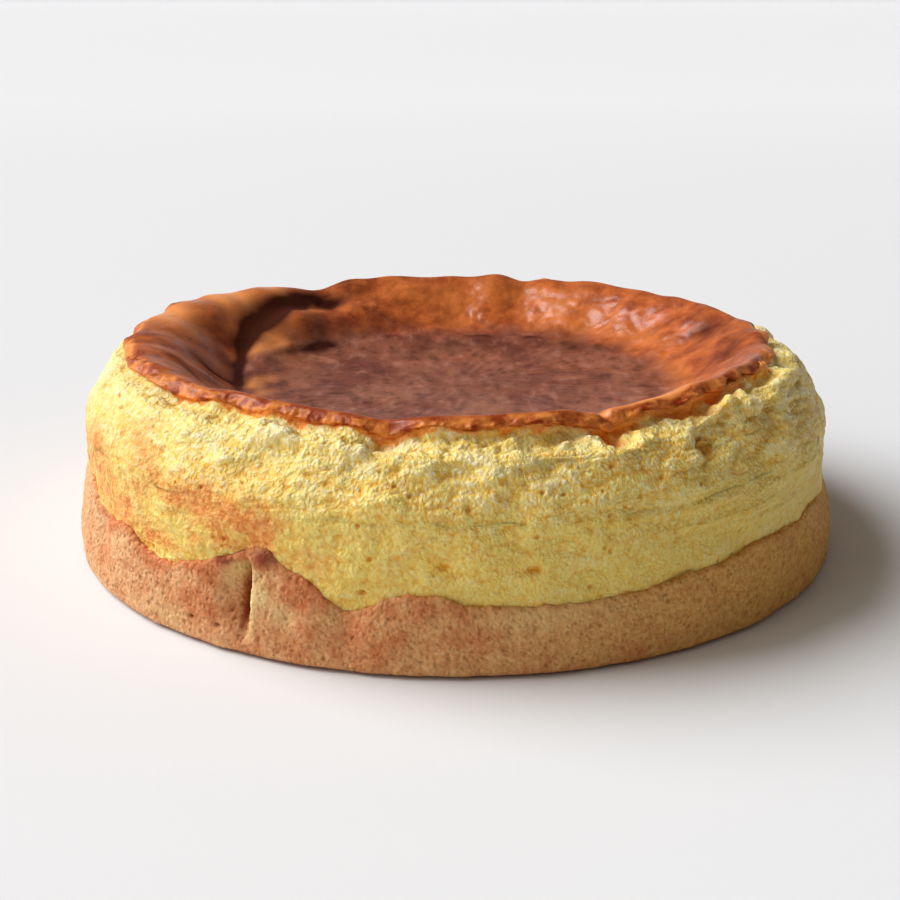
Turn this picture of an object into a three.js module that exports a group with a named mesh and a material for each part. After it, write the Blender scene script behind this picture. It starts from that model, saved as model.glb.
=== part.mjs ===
// A whole round baked cheesecake: a shortcrust base with an uneven, pinched edge, and on it a
// filling that has risen, torn away below its browned skin and sunk in the middle.
// Millimetres, +Z up. The origin is the centre of the flat underside and -Y faces the viewer.
// An azimuth is in degrees, 0 on +X and -90 at the front.
import * as THREE from "three";
import { mergeVertices } from "three/addons/utils/BufferGeometryUtils.js";

// Crust: the side, from the foot to the lip, and the floor that carries the filling
const CRUST_RADIUS = 100;
const FOOT_RADIUS = 99.6;
const FOOT_ROUNDING = 1.2;
const CRUST_BELLY_HEIGHT = 8;
const CRUST_TOP_RADIUS = 98.7;
const CRUST_EDGE_HEIGHT = 25.4;
const CRUST_LIP_THICKNESS = 2.4;
const CRUST_LIP_ROUNDING = 1;
const CRUST_LUMPS_FROM = 6;
const CRUST_FLOOR_HEIGHT = 14;
const CRUST_FLOOR_RADIUS = 84;

// Filling: the wall, the ledge below the skin, the rim of the skin and the sunken middle
const FILLING_RADIUS = 97.7;
const FILLING_FOOT_STEP = 0.6;
const BELLY_HEIGHT = 31;
const BELLY_WIDTH = 9;
const BELLY_SWELL = 0.6;
const ROUNDING_FOOT = 35.2;
const ROUNDING_TOP = 53.5;
const NECK_RADIUS = 88.1;
const SHOULDER_HEIGHT = 46.5;
const SHELF_RADIUS = 89.6;
const SHELF_HEIGHT = 47.9;
const TEAR_DEPTH = 1.2;
const TEAR_UNDERCUT = 1.1;
const SKIN_OVERHANG = 0.8;
const SKIN_EDGE_REACH = 3.6;
const SKIN_EDGE_DROP = 2.2;
const RIM_RADIUS = 79.6;
const RIM_HEIGHT = 51.9;
const HOLLOW_RADIUS = 54;
const HOLLOW_HEIGHT = 39.4;
const HOLLOW_DISH = 1.2;
const TOUCHING_GAP = 0.4;

// On the far left the filling rounds smoothly up to the skin instead of tearing away from it
const SMOOTH_AZIMUTH = 174;
const SMOOTH_WIDTH = 48;
const SMOOTH_SHARE = 0.75;

// Rows of faces up the filling's wall, and how far inside the rim the hollow's rings lie
const WALL_ROWS = 8;
const HOLLOW_RINGS = [3, 7, 11, 15.5, 20, 24.5, 29, 36, 46, 58];

// Columns of faces round the cake, and how much closer together they stand at the cleft
const COLUMNS = 120;
const COLUMN_CROWDING = 0.52;

// Swells and dips round the cake, each as azimuth, size and half width
const CRUST_EDGE_SWELLS = [
  [-78.2, -9.4, 35.9],
  [-134.9, -7.6, 12.6],
  [-115.6, 4.2, 3.6],
  [-103.7, -5.4, 3.5],
  [-94.5, 1.6, 4],
  [-158, 1.2, 4],
  [-140.5, 2.7, 3.5],
  [-151, -2.9, 6],
  [-168, -3.5, 16],
  [-36, -2.2, 11],
  [-14, -5.6, 18],
  [58, -1.6, 20],
  [118, 1.3, 16],
];
const CRUST_SIDE_SWELLS = [
  [-117, -0.6, 9],
  [-94, 0.7, 7],
  [-142, 0.6, 6],
  [-60, 0.4, 18],
  [70, -0.5, 14],
  [-172, -1.7, 22],
  [-12, -1.9, 22],
];
const WALL_SWELLS = [
  [180, -2.1, 38],
  [-128, 0.5, 12],
  [-75, 0.4, 20],
  [-8, -1.6, 24],
  [60, 0.5, 25],
];
const SHOULDER_REACH_SWELLS = [
  [-97, 1.6, 6],
  [-70, 1.2, 9],
  [-50, -1.8, 7],
  [-18, 0.3, 14],
  [40, 1.2, 16],
  [95, -1.2, 14],
  [168, 1.3, 36],
];
const SHELF_SWELLS = [
  [-112, 3.2, 11],
  [-88, 0.8, 3.4],
  [-81, -1, 2.6],
  [-74, 0.9, 4],
  [-62.5, 0.8, 3],
  [-48, 1.2, 4],
  [-170, 1.9, 44],
  [25, -1.2, 18],
];
const RIM_SWELLS = [
  [159, 1.8, 33],
  [123.8, -2.5, 6.8],
  [74.7, -1, 3],
  [-37, 2.1, 14],
  [-68.9, -1.3, 3.5],
  [-101.2, -1.7, 6.6],
  [-98, 1.5, 62],
];
const RIM_REACH_SWELLS = [
  [-92, 2.1, 46],
  [158, 2.2, 24],
  [-172, 2.4, 20],
  [70, 0.6, 25],
];
const SKIN_EDGE_SWELLS = [
  [-99.8, -1.2, 2.2],
  [-122, -0.7, 2],
  [-66.5, -1.6, 3],
  [-59, 0.6, 3],
  [-139, -1.1, 5],
  [100, -0.8, 6],
  [35, -0.7, 5],
];

// Small waves round the cake, each as turns, phase and size
const CRUST_EDGE_RIPPLES = [
  [9, 1, 0.35],
  [23, 0.4, 0.25],
];
const RIM_RIPPLES = [
  [14, 0.7, 0.25],
  [31, 2, 0.2],
];
const RIM_REACH_RIPPLES = [[7, 0.5, 0.3]];
const SKIN_EDGE_RIPPLES = [
  [27, 1, 0.35],
  [41, 0.3, 0.25],
];

// Crags on the wall: waves that shift with height, each as turns, millimetres a radian and size
const CRAG_WAVES = [
  [17, 3.1, 1],
  [29, -2.3, 0.8],
  [5, 7, 0.6],
];
const CRAG_SIZE_LOW = 0.25;
const CRAG_SIZE_HIGH = 0.7;
const CRAGS_GROW_FROM = 34;

// The cleft in the crust: where it is, how deep, and its gentle and its sharp flank
const CLEFT_AZIMUTH = -117.7;
const CLEFT_DEPTH = 4.2;
const CLEFT_GENTLE_WIDTH = 3.4;
const CLEFT_SHARP_WIDTH = 0.8;
const CLEFT_FOOT_HEIGHT = 2.5;
const CLEFT_FULL_HEIGHT = 13;

// Creases where the dough was folded over, each as azimuth, depth, half width and height
const CRUST_CREASES = [
  [-149, 1.6, 2.4, 16],
  [-103.4, 1.3, 2.2, 12],
];
const CREASE_HALF_HEIGHT = 9;

// The folded skin at the back left of the hollow: a ridge, with a valley between it and the rim
const FOLD_START = 112;
const FOLD_END = 172;
const FOLD_SOFTNESS = 15;
const FOLD_RADIUS_AT_START = 64;
const FOLD_RADIUS_AT_END = 55;
const FOLD_HEIGHT = 3.1;
const FOLD_WIDTH = 6;
const VALLEY_OFFSET = 9.5;
const VALLEY_DEPTH = 2.6;
const VALLEY_WIDTH = 5;

// Where the skin's shoulder is broader before it falls to the hollow, as azimuth, share and width
const BROAD_SHOULDERS = [
  [150, 1, 26],
  [-172, 0.4, 14],
];

// Pleats down the hollow's wall
const PLEAT_TURNS = 19;
const PLEAT_SIZE = 0.5;

const RADIANS = Math.PI / 180;

function azimuthFrom(centre, azimuth) {
  return ((((azimuth - centre + 180) % 360) + 360) % 360) - 180;
}

function bump(distance, width) {
  return Math.exp(-((distance / width) ** 2));
}

function mix(a, b, share) {
  return a + (b - a) * share;
}

function clamp01(value) {
  return Math.min(1, Math.max(0, value));
}

function smoothStep(from, to, value) {
  const t = clamp01((value - from) / (to - from));
  return t * t * (3 - 2 * t);
}

function swells(list, azimuth) {
  let sum = 0;
  for (const [at, size, width] of list) {
    sum += size * bump(azimuthFrom(at, azimuth), width);
  }
  return sum;
}

function ripples(list, azimuth) {
  let sum = 0;
  for (const [turns, phase, size] of list) {
    sum += size * Math.sin(azimuth * RADIANS * turns + phase);
  }
  return sum;
}

// Crust: the height of its edge and the radius of its side

function crustEdgeHeight(azimuth) {
  return CRUST_EDGE_HEIGHT + swells(CRUST_EDGE_SWELLS, azimuth) + ripples(CRUST_EDGE_RIPPLES, azimuth);
}

function cleftDepth(azimuth, height) {
  const across = azimuthFrom(CLEFT_AZIMUTH, azimuth);
  const width = across < 0 ? CLEFT_GENTLE_WIDTH : CLEFT_SHARP_WIDTH;
  return CLEFT_DEPTH * bump(across, width) * smoothStep(CLEFT_FOOT_HEIGHT, CLEFT_FULL_HEIGHT, height);
}

function creaseDepth(azimuth, height) {
  let depth = 0;
  for (const [at, size, width, centre] of CRUST_CREASES) {
    depth += size * bump(azimuthFrom(at, azimuth), width) * bump(height - centre, CREASE_HALF_HEIGHT);
  }
  return depth;
}

function crustSideRadius(azimuth, height) {
  const edge = crustEdgeHeight(azimuth);
  const below = clamp01((CRUST_BELLY_HEIGHT - height) / CRUST_BELLY_HEIGHT);
  const above = clamp01((height - CRUST_BELLY_HEIGHT) / (edge - CRUST_BELLY_HEIGHT));
  const foot = (CRUST_RADIUS - FOOT_RADIUS) * below ** 2;
  const taper = (CRUST_RADIUS - CRUST_TOP_RADIUS) * above ** 2;
  const lumps = smoothStep(CRUST_LUMPS_FROM, edge, height) * swells(CRUST_SIDE_SWELLS, azimuth);
  return CRUST_RADIUS - foot - taper + lumps - cleftDepth(azimuth, height) - creaseDepth(azimuth, height);
}

// The crust's upper face from the lip to the middle, which the filling's underside follows
function crustUpperFace(azimuth) {
  const edge = crustEdgeHeight(azimuth);
  const lip = crustSideRadius(azimuth, edge - CRUST_LIP_ROUNDING) - CRUST_LIP_THICKNESS;
  return [
    [lip, edge - CRUST_LIP_ROUNDING / 2],
    [mix(lip, CRUST_FLOOR_RADIUS, 0.35), mix(edge, CRUST_FLOOR_HEIGHT, 0.45)],
    [mix(lip, CRUST_FLOOR_RADIUS, 0.7), mix(edge, CRUST_FLOOR_HEIGHT, 0.88)],
    [CRUST_FLOOR_RADIUS, CRUST_FLOOR_HEIGHT],
    [0, CRUST_FLOOR_HEIGHT],
  ];
}

function crustProfile(azimuth) {
  const edge = crustEdgeHeight(azimuth);
  const side = (height) => [crustSideRadius(azimuth, height), height];
  const foot = crustSideRadius(azimuth, 0);
  const upperFace = crustUpperFace(azimuth);
  return [
    [0, 0],
    [foot - FOOT_ROUNDING, 0],
    [foot - FOOT_ROUNDING * 0.3, FOOT_ROUNDING * 0.3],
    side(FOOT_ROUNDING),
    side(CRUST_BELLY_HEIGHT),
    side(mix(CRUST_BELLY_HEIGHT, edge, 0.4)),
    side(mix(CRUST_BELLY_HEIGHT, edge, 0.75)),
    side(edge - CRUST_LIP_ROUNDING),
    [upperFace[0][0] + CRUST_LIP_THICKNESS / 2, edge],
    ...upperFace,
  ];
}

// Filling: its wall, the torn shelf below the skin, the rim and the hollow

function torn(azimuth) {
  return 1 - SMOOTH_SHARE * bump(azimuthFrom(SMOOTH_AZIMUTH, azimuth), SMOOTH_WIDTH);
}

function crags(azimuth, height) {
  const grown = smoothStep(CRAGS_GROW_FROM, SHOULDER_HEIGHT, height);
  let sum = 0;
  for (const [turns, shift, size] of CRAG_WAVES) {
    sum += size * Math.sin(azimuth * RADIANS * turns + height / shift);
  }
  return mix(CRAG_SIZE_LOW, CRAG_SIZE_HIGH, grown) * torn(azimuth) * sum;
}

function wallRadius(azimuth, height) {
  const belly = BELLY_SWELL * bump(height - BELLY_HEIGHT, BELLY_WIDTH);
  const upright = mix(FILLING_RADIUS, NECK_RADIUS, smoothStep(ROUNDING_FOOT, ROUNDING_TOP, height));
  const high = smoothStep(BELLY_HEIGHT, SHOULDER_HEIGHT, height);
  const reach = swells(WALL_SWELLS, azimuth) + high * swells(SHOULDER_REACH_SWELLS, azimuth);
  return upright + belly + reach + crags(azimuth, height);
}

function rimHeight(azimuth) {
  return RIM_HEIGHT + swells(RIM_SWELLS, azimuth) + ripples(RIM_RIPPLES, azimuth);
}

function rimRadius(azimuth) {
  return RIM_RADIUS + swells(RIM_REACH_SWELLS, azimuth) + ripples(RIM_REACH_RIPPLES, azimuth);
}

function skinEdge(azimuth) {
  const ragged = ripples(SKIN_EDGE_RIPPLES, azimuth);
  const height = rimHeight(azimuth) - SKIN_EDGE_DROP + swells(SKIN_EDGE_SWELLS, azimuth) + ragged;
  return [rimRadius(azimuth) + SKIN_EDGE_REACH + ragged, height];
}

function shelf(azimuth) {
  const reach = 0.6 * swells(SHOULDER_REACH_SWELLS, azimuth) + swells(WALL_SWELLS, azimuth);
  const height = SHELF_HEIGHT + swells(SHELF_SWELLS, azimuth) + crags(azimuth, SHOULDER_HEIGHT);
  return [SHELF_RADIUS + reach, Math.min(height, skinEdge(azimuth)[1] - SKIN_OVERHANG / 2)];
}

function foldShape(azimuth, radius) {
  const turned = azimuth < 0 ? azimuth + 360 : azimuth;
  const opens = smoothStep(FOLD_START - FOLD_SOFTNESS, FOLD_START + FOLD_SOFTNESS, turned);
  const closes = smoothStep(FOLD_END - FOLD_SOFTNESS, FOLD_END + FOLD_SOFTNESS, turned);
  const along = (turned - FOLD_START) / (FOLD_END - FOLD_START);
  const inside = radius - mix(FOLD_RADIUS_AT_START, FOLD_RADIUS_AT_END, along);
  const ridge = FOLD_HEIGHT * bump(inside, FOLD_WIDTH);
  const valley = VALLEY_DEPTH * bump(inside - VALLEY_OFFSET, VALLEY_WIDTH);
  return opens * (1 - closes) * (ridge - valley);
}

function hollowHeight(azimuth, radius) {
  const inwards = clamp01((rimRadius(azimuth) - radius) / (RIM_RADIUS - HOLLOW_RADIUS));
  const down = inwards ** (1 + swells(BROAD_SHOULDERS, azimuth));
  const roundShoulder = Math.sin(down * Math.PI * 0.5) ** 1.25;
  const slope = mix(roundShoulder, smoothStep(0, 1, down), 0.5);
  const floor = HOLLOW_HEIGHT - HOLLOW_DISH * (1 - clamp01(radius / HOLLOW_RADIUS) ** 2);
  const pleats = PLEAT_SIZE * Math.sin(azimuth * RADIANS * PLEAT_TURNS) * Math.sin(down * Math.PI);
  return mix(rimHeight(azimuth), floor, slope) + foldShape(azimuth, radius) + pleats;
}

function wallRowsOf(azimuth, foot) {
  const lowest = crustEdgeHeight(azimuth) + 2;
  const rows = [];
  for (let row = 0; row < WALL_ROWS; row += 1) {
    const height = mix(lowest, SHOULDER_HEIGHT, row / (WALL_ROWS - 1));
    const clearOfCrust = mix(0.35, 1, smoothStep(0, 2, row));
    rows.push([mix(foot, wallRadius(azimuth, height), clearOfCrust), height]);
  }
  return rows;
}

function tearRowsOf(azimuth) {
  const shoulder = [wallRadius(azimuth, SHOULDER_HEIGHT), SHOULDER_HEIGHT];
  const ledge = shelf(azimuth);
  const skin = skinEdge(azimuth);
  const rim = [rimRadius(azimuth), rimHeight(azimuth)];
  const depth = TEAR_DEPTH * torn(azimuth);
  const tear = [
    skin[0] - TEAR_UNDERCUT * torn(azimuth),
    Math.min(ledge[1] - depth, skin[1] - SKIN_OVERHANG),
  ];
  const between = (a, b, out, up) => [mix(a[0], b[0], out), mix(a[1], b[1], up)];
  return [
    between(shoulder, ledge, 0.6, 0.75),
    ledge,
    between(ledge, tear, 0.7, 0.7),
    tear,
    [tear[0] - 0.3, mix(tear[1], skin[1], 0.6)],
    skin,
    [skin[0] - 0.3, mix(skin[1], rim[1], 0.5)],
    between(skin, rim, 0.5, 0.88),
    rim,
  ];
}

function fillingProfile(azimuth) {
  const upperFace = crustUpperFace(azimuth);
  const foot = upperFace[0][0] + FILLING_FOOT_STEP;
  const underside = upperFace
    .reverse()
    .map(([radius, height]) => [Math.max(0, radius - TOUCHING_GAP), height + TOUCHING_GAP]);
  const rim = rimRadius(azimuth);
  const hollow = HOLLOW_RINGS.map((inwards) => [rim - inwards, hollowHeight(azimuth, rim - inwards)]);
  return [
    ...underside,
    [foot, crustEdgeHeight(azimuth) + TOUCHING_GAP * 1.5],
    ...wallRowsOf(azimuth, foot),
    ...tearRowsOf(azimuth),
    ...hollow,
    [0, HOLLOW_HEIGHT - HOLLOW_DISH],
  ];
}

// Where a profile starts or ends on the axis, one face of each quad has shrunk to a line
function withoutCollapsedFaces(geometry) {
  const index = geometry.getIndex();
  const kept = [];
  for (let face = 0; face < index.count; face += 3) {
    const corners = [index.getX(face), index.getX(face + 1), index.getX(face + 2)];
    if (new Set(corners).size === 3) {
      kept.push(...corners);
    }
  }
  geometry.setIndex(kept);
  geometry.computeVertexNormals();
  return geometry;
}

// A closed body from one profile for each azimuth. A lathe makes the columns and rows of faces,
// and each of its vertices then moves to where its own azimuth's profile has it.
function turnedBody(profile) {
  const template = profile(0).map(([radius, height]) => new THREE.Vector2(radius, height));
  const geometry = new THREE.LatheGeometry(template, COLUMNS);
  const position = geometry.getAttribute("position");
  for (let column = 0; column <= COLUMNS; column += 1) {
    const turn = ((column % COLUMNS) / COLUMNS) * 2 * Math.PI;
    const fromCleft = (turn - COLUMN_CROWDING * Math.sin(turn)) / RADIANS;
    const azimuth = azimuthFrom(0, CLEFT_AZIMUTH + fromCleft);
    const outline = profile(azimuth);
    for (let row = 0; row < outline.length; row += 1) {
      const [radius, height] = outline[row];
      const x = radius * Math.cos(azimuth * RADIANS);
      const y = radius * Math.sin(azimuth * RADIANS);
      position.setXYZ(column * outline.length + row, x, y, height);
    }
  }
  geometry.deleteAttribute("normal");
  geometry.deleteAttribute("uv");
  return withoutCollapsedFaces(mergeVertices(geometry));
}

function bakedPiece(name, profile, colour, roughness) {
  const material = new THREE.MeshStandardMaterial({ color: colour, roughness, metalness: 0 });
  const mesh = new THREE.Mesh(turnedBody(profile), material);
  mesh.name = name;
  return mesh;
}

const cheesecake = new THREE.Group();
cheesecake.add(bakedPiece("crust_base", crustProfile, 0xcf9b66, 0.85));
cheesecake.add(bakedPiece("cheese_filling", fillingProfile, 0xe8cf72, 0.7));

export default cheesecake;
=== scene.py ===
# %% [markdown]
# # A whole baked cheesecake
# The object is one round cheesecake, 20 cm across: a thick shortcrust base with an uneven,
# pinched edge, a crumbly yellow filling that has torn away below its browned skin, and the
# glossy skin itself, which has sunk in the middle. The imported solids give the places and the
# main forms. This script gives the crumb, the pastry's grain, the skin's folds and the colours.

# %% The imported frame
import math

import bmesh
import bpy
import numpy as np
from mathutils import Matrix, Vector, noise


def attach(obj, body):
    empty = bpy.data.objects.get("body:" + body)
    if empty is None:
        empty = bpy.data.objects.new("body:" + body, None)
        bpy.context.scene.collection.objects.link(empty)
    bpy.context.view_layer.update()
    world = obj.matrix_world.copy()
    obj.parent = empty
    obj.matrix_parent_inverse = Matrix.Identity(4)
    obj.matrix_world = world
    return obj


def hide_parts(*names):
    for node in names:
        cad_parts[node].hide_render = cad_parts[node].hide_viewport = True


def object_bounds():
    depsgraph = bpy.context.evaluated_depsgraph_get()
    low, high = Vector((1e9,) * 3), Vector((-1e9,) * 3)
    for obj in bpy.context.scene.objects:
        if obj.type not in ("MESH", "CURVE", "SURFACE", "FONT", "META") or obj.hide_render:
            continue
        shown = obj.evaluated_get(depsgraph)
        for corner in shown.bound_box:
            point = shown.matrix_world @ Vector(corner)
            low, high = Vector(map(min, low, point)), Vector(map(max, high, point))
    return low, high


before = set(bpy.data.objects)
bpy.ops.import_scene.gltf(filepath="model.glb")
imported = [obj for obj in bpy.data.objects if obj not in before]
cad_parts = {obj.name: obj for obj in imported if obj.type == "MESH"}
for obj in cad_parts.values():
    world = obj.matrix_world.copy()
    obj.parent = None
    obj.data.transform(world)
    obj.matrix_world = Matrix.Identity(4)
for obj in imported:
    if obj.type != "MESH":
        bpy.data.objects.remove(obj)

cad_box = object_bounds()
MILLIMETRE = 0.001
print("solids:", sorted(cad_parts), "box:", [list(corner) for corner in cad_box])

# %% [markdown]
# ## Camera
# A portrait lens of 58 mm looks down on the front of the cake by about 18 degrees, from 38 cm
# away. The camera could be aimed with a tracking constraint, but three plain numbers are easier
# to compare with a photograph.

# %% Camera
CAMERA_PLACE = (0.0, -0.3759, 0.1397)
CAMERA_TILT = math.radians(90 - 17.76)
CAMERA_TURN = math.radians(0.215)

camera = bpy.data.objects.new("camera", bpy.data.cameras.new("camera"))
camera.data.lens = 58.0
camera.data.sensor_width = 36.0
camera.data.clip_start = 0.01
camera.location = CAMERA_PLACE
camera.rotation_euler = (CAMERA_TILT, 0.0, CAMERA_TURN)
bpy.context.scene.collection.objects.link(camera)
bpy.context.scene.camera = camera
print("camera at", CAMERA_PLACE)

# %% [markdown]
# ## Light
# Daylight comes from a wide source on the left, a little behind the cake and half way up. A sun
# lamp with a wide disc does that: the shadow gets a broad edge, and the floor stays evenly lit.
# A card at the front left lifts the front, and the room adds a weak, warm rest.

# %% Light
KEY_AZIMUTH, KEY_HEIGHT, KEY_DISC, KEY_STRENGTH = 163, 43, 48, 3.95
CARD_AZIMUTH, CARD_HEIGHT, CARD_DISTANCE, CARD_SIZE, CARD_POWER = -148, 28, 1.4, 1.0, 4.0
FILL_STRENGTH = 0.16


def spherical(azimuth, height, distance):
    """The place at that azimuth and height, in degrees, and that distance from the middle."""
    turn, rise = math.radians(azimuth), math.radians(height)
    level = distance * math.cos(rise)
    return level * math.cos(turn), level * math.sin(turn), distance * math.sin(rise)


def lamp(name, kind, azimuth, height, power, colour):
    """A lamp that shines on the cake from that azimuth and height."""
    piece = bpy.data.objects.new(name, bpy.data.lights.new(name, kind))
    piece.data.energy = power
    piece.data.color = colour
    piece.rotation_euler = (math.radians(90 - height), 0.0, math.radians(azimuth + 90))
    bpy.context.scene.collection.objects.link(piece)
    return piece


key = lamp("daylight", "SUN", KEY_AZIMUTH, KEY_HEIGHT, KEY_STRENGTH, (0.97, 0.985, 1.0))
key.data.angle = math.radians(KEY_DISC)
card = lamp("card", "AREA", CARD_AZIMUTH, CARD_HEIGHT, CARD_POWER, (1.0, 0.95, 0.88))
card.data.shape = "DISK"
card.data.size = CARD_SIZE
card.location = spherical(CARD_AZIMUTH, CARD_HEIGHT, CARD_DISTANCE)

world = bpy.data.worlds.new("room")
world.use_nodes = True
world.node_tree.nodes["Background"].inputs["Color"].default_value = (1.0, 0.9, 0.78, 1.0)
world.node_tree.nodes["Background"].inputs["Strength"].default_value = FILL_STRENGTH
bpy.context.scene.world = world
bpy.context.scene.view_settings.view_transform = "Standard"
print("card at", [round(part, 2) for part in card.location])

# %% [markdown]
# ## Finishes as expressions
# A finish is a tree of shader nodes. Written as calls, such a tree is hard to read, so a small
# class wraps a socket: sums and products of such values add Math nodes. One method adds any
# other node, from its type, its settings and what goes into its sockets.

# %% Values and finishes


class Value:
    """A number or colour that changes over the surface: one output socket of a node."""

    def __init__(self, finish, socket):
        self.finish = finish
        self.socket = socket

    def math(self, operation, *numbers, clamp=False):
        settings = {"operation": operation, "use_clamp": clamp}
        return self.finish.add("ShaderNodeMath", settings, dict(enumerate(numbers)))

    def __add__(self, other):
        return self.math("ADD", self, other)

    def __mul__(self, other):
        return self.math("MULTIPLY", self, other)

    def __sub__(self, other):
        return self.math("SUBTRACT", self, other)

    def __rsub__(self, other):
        return self.math("SUBTRACT", other, self)

    __radd__ = __add__
    __rmul__ = __mul__

    def between(self, low, high):
        """0 below low, 1 above high and straight between them. low may be above high."""
        settings = {"clamp": True}
        values = {"Value": self, "From Min": low, "From Max": high}
        return self.finish.add("ShaderNodeMapRange", settings, values)


class Finish:
    """A material whose nodes are added by name."""

    def __init__(self, name):
        self.material = bpy.data.materials.new(name)
        self.material.use_nodes = True
        self.nodes = self.material.node_tree.nodes
        self.nodes.clear()
        self.place = self.add("ShaderNodeTexCoord", {}, {}, "Object")

    def add(self, kind, settings, values, output=0):
        node = self.nodes.new(kind)
        for name, setting in settings.items():
            setattr(node, name, setting)
        for name, value in values.items():
            if isinstance(value, Value):
                self.material.node_tree.links.new(value.socket, node.inputs[name])
            else:
                node.inputs[name].default_value = value
        if output is not None:
            return Value(self, node.outputs[output])

    def attribute(self, name):
        return self.add("ShaderNodeAttribute", {"attribute_name": name}, {}, "Fac")

    def noise(self, size, detail=2.0, roughness=0.5, place=None):
        """Soft random patches about `size` metres across, from 0 to 1."""
        values = {"Vector": place or self.place, "Scale": 1 / size, "Detail": detail}
        values["Roughness"] = roughness
        return self.add("ShaderNodeTexNoise", {}, values, "Fac")

    def cells(self, size, feature="F1"):
        """Distance from the nearest of many random points, about `size` metres apart."""
        values = {"Vector": self.place, "Scale": 1 / size}
        return self.add("ShaderNodeTexVoronoi", {"feature": feature}, values, "Distance")

    def blend(self, share, colour, other):
        values = {0: share, 6: colour, 7: other}
        return self.add("ShaderNodeMix", {"data_type": "RGBA"}, values, 2)

    def bump(self, height, distance, strength=1.0):
        values = {"Height": height, "Distance": distance, "Strength": strength}
        return self.add("ShaderNodeBump", {}, values)

    def surface(self, values):
        shader = self.add("ShaderNodeBsdfPrincipled", {}, values, "BSDF")
        self.add("ShaderNodeOutputMaterial", {}, {"Surface": shader}, None)
        return self.material


# %% [markdown]
# An output node has no outputs, so `add` is given None for it. Colours are written as the
# eye sees them, from 0 to 255, and turned into the linear values that the shader wants.

# %% Colours


def paint(red, green, blue):
    """A linear colour from one written for the screen."""
    screen = np.array([red, green, blue]) / 255
    linear = np.where(screen <= 0.04045, screen / 12.92, ((screen + 0.055) / 1.055) ** 2.4)
    return (*linear, 1.0)


print("white floor as a linear colour:", [round(part, 3) for part in paint(236, 236, 238)])

# %% [markdown]
# ## The cake's own measures
# The solids were worked out from named sizes, in millimetres, with each form as a function of
# the azimuth: 0 degrees points to the right, -90 to the viewer. The same sizes and functions
# are repeated here for whole arrays at once, so that the fine surface lies where the solid is.

# %% Small functions of one number


def bump(distance, width):
    return np.exp(-((distance / width) ** 2))


def mix(a, b, share):
    return a + (b - a) * share


def smooth_step(start, end, value):
    share = np.clip((value - start) / (end - start), 0, 1)
    return share * share * (3 - 2 * share)


def azimuth_from(centre, azimuth):
    return (azimuth - centre + 180) % 360 - 180


def swells(table, azimuth):
    """The sum of soft swells round the cake, each as azimuth, size and half width."""
    return sum(size * bump(azimuth_from(at, azimuth), width) for at, size, width in table)


def ripples(table, azimuth):
    """The sum of waves round the cake, each as turns, phase and size."""
    return sum(size * np.sin(np.radians(azimuth) * turns + phase) for turns, phase, size in table)


print("a swell of 2 mm, one half width away:", round(float(2 * bump(1, 1)), 3))

# %% [markdown]
# The crust is a disc with a raised edge. Its top line wanders between 15 and 26 mm, and at the
# front left the dough was pinched together and left a deep cleft.

# %% Crust sizes and forms
CRUST_RADIUS, FOOT_RADIUS, FOOT_ROUNDING = 100, 99.6, 1.2
CRUST_BELLY_HEIGHT, CRUST_TOP_RADIUS, CRUST_EDGE_HEIGHT = 8, 98.7, 25.4
CRUST_LIP_THICKNESS, CRUST_LIP_ROUNDING, CRUST_LUMPS_FROM = 2.4, 1, 6
CRUST_FLOOR_HEIGHT, CRUST_FLOOR_RADIUS = 14, 84
CRUST_EDGE_SWELLS = [
    (-78.2, -9.4, 35.9), (-134.9, -7.6, 12.6), (-115.6, 4.2, 3.6), (-103.7, -5.4, 3.5),
    (-94.5, 1.6, 4), (-158, 1.2, 4), (-140.5, 2.7, 3.5), (-151, -2.9, 6), (-168, -3.5, 16),
    (-36, -2.2, 11), (-14, -5.6, 18), (58, -1.6, 20), (118, 1.3, 16),
]
CRUST_SIDE_SWELLS = [
    (-117, -0.6, 9), (-94, 0.7, 7), (-142, 0.6, 6), (-60, 0.4, 18), (70, -0.5, 14),
    (-172, -1.7, 22), (-12, -1.9, 22),
]
CRUST_EDGE_RIPPLES = [(9, 1, 0.35), (23, 0.4, 0.25)]
CLEFT_AZIMUTH, CLEFT_DEPTH = -117.7, 4.2
CLEFT_GENTLE_WIDTH, CLEFT_SHARP_WIDTH = 3.4, 0.8
CLEFT_FOOT_HEIGHT, CLEFT_FULL_HEIGHT = 2.5, 13
CRUST_CREASES = [(-149, 1.6, 2.4, 16), (-103.4, 1.3, 2.2, 12)]
CREASE_HALF_HEIGHT = 9


def crust_edge_height(azimuth):
    return CRUST_EDGE_HEIGHT + swells(CRUST_EDGE_SWELLS, azimuth) + ripples(CRUST_EDGE_RIPPLES, azimuth)


def cleft_depth(azimuth, height):
    across = azimuth_from(CLEFT_AZIMUTH, azimuth)
    width = np.where(across < 0, CLEFT_GENTLE_WIDTH, CLEFT_SHARP_WIDTH)
    return CLEFT_DEPTH * bump(across, width) * smooth_step(CLEFT_FOOT_HEIGHT, CLEFT_FULL_HEIGHT, height)


def crease_depth(azimuth, height):
    return sum(
        size * bump(azimuth_from(at, azimuth), width) * bump(height - centre, CREASE_HALF_HEIGHT)
        for at, size, width, centre in CRUST_CREASES
    )


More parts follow.
